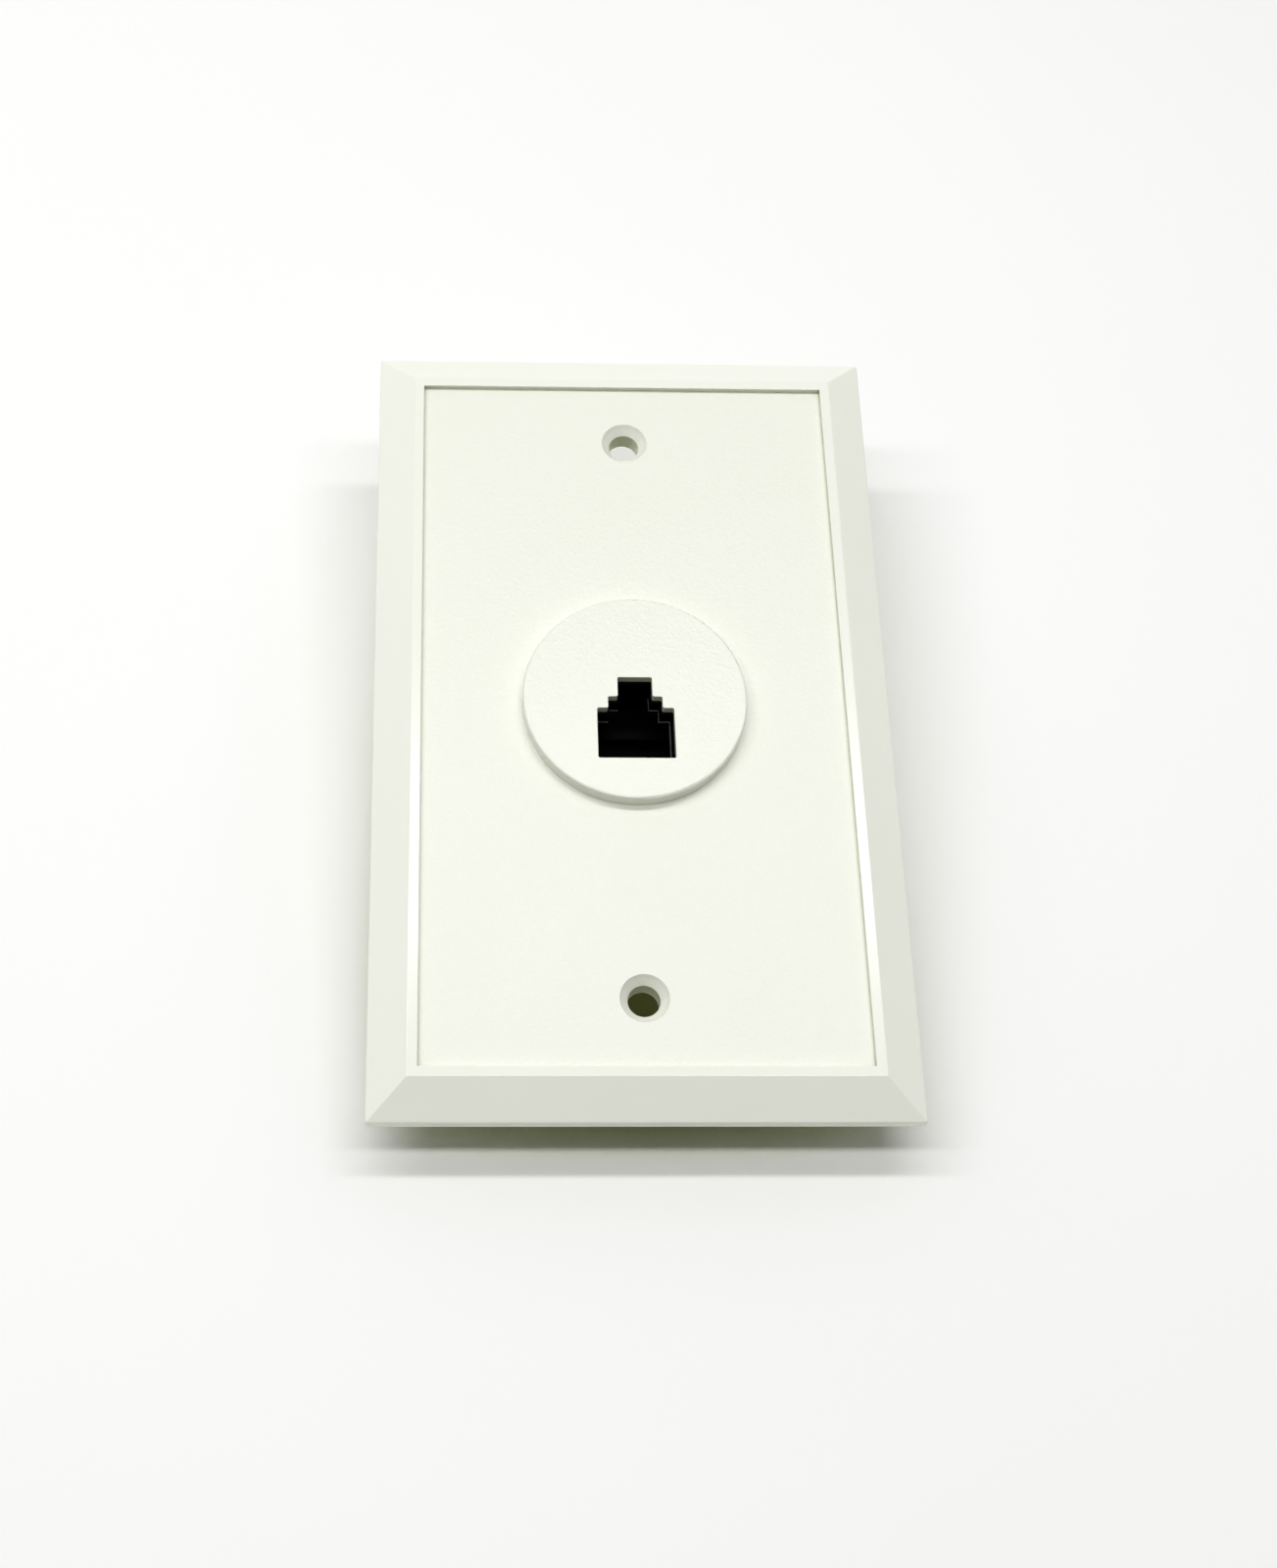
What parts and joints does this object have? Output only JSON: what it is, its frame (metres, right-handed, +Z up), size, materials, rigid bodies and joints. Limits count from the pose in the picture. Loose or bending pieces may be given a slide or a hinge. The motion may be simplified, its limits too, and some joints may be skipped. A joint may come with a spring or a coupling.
{
  "type": "telephone wall socket",
  "caption": "Flush telephone wall socket: bevelled wall plate with a recessed panel, a round boss and a stepped modular plug opening, with a screw-terminal block behind it.",
  "frame": {"origin": "midway between the two mounting holes, in the plane of the plate's rear rim, which lies on the wall", "axes": "+X to the right as seen from the room, +Y into the wall, +Z up the wall"},
  "size_m": [0.0698, 0.0213, 0.1142],
  "materials": {
    "plate_plastic": "moulded ABS, fine texture on the panel and gloss on the land",
    "block_plastic": "moulded ABS, satin",
    "jack_plastic": "moulded polycarbonate, satin black",
    "comb_plastic": "moulded PBT, matte black",
    "contact_metal": "drawn phosphor bronze, gold flashed",
    "green_insulation": "extruded PVC",
    "red_insulation": "extruded PVC",
    "black_insulation": "extruded PVC",
    "yellow_insulation": "extruded PVC",
    "lug_metal": "stamped brass, bright tin",
    "washer_metal": "stamped steel, nickel plated",
    "screw_metal": "turned brass",
    "fixing_screw_metal": "cold headed steel, zinc plated"
  },
  "bodies": {
    "root": {"face_plate": "plate_plastic", "terminal_block": "block_plastic", "jack_housing": "jack_plastic", "contact_carrier": "comb_plastic", "contact_wire_1": "contact_metal", "contact_wire_2": "contact_metal", "contact_wire_3": "contact_metal", "contact_wire_4": "contact_metal", "lead_green": "green_insulation", "lead_red": "red_insulation", "lead_black": "black_insulation", "lead_yellow": "yellow_insulation", "spade_lug_1": "lug_metal", "cup_washer_1": "washer_metal", "terminal_screw_1": "screw_metal", "spade_lug_2": "lug_metal", "cup_washer_2": "washer_metal", "terminal_screw_2": "screw_metal", "spade_lug_3": "lug_metal", "cup_washer_3": "washer_metal", "terminal_screw_3": "screw_metal", "spade_lug_4": "lug_metal", "cup_washer_4": "washer_metal", "terminal_screw_4": "screw_metal", "block_screw_top": "fixing_screw_metal", "block_screw_bottom": "fixing_screw_metal"}
  },
  "joints": []
}
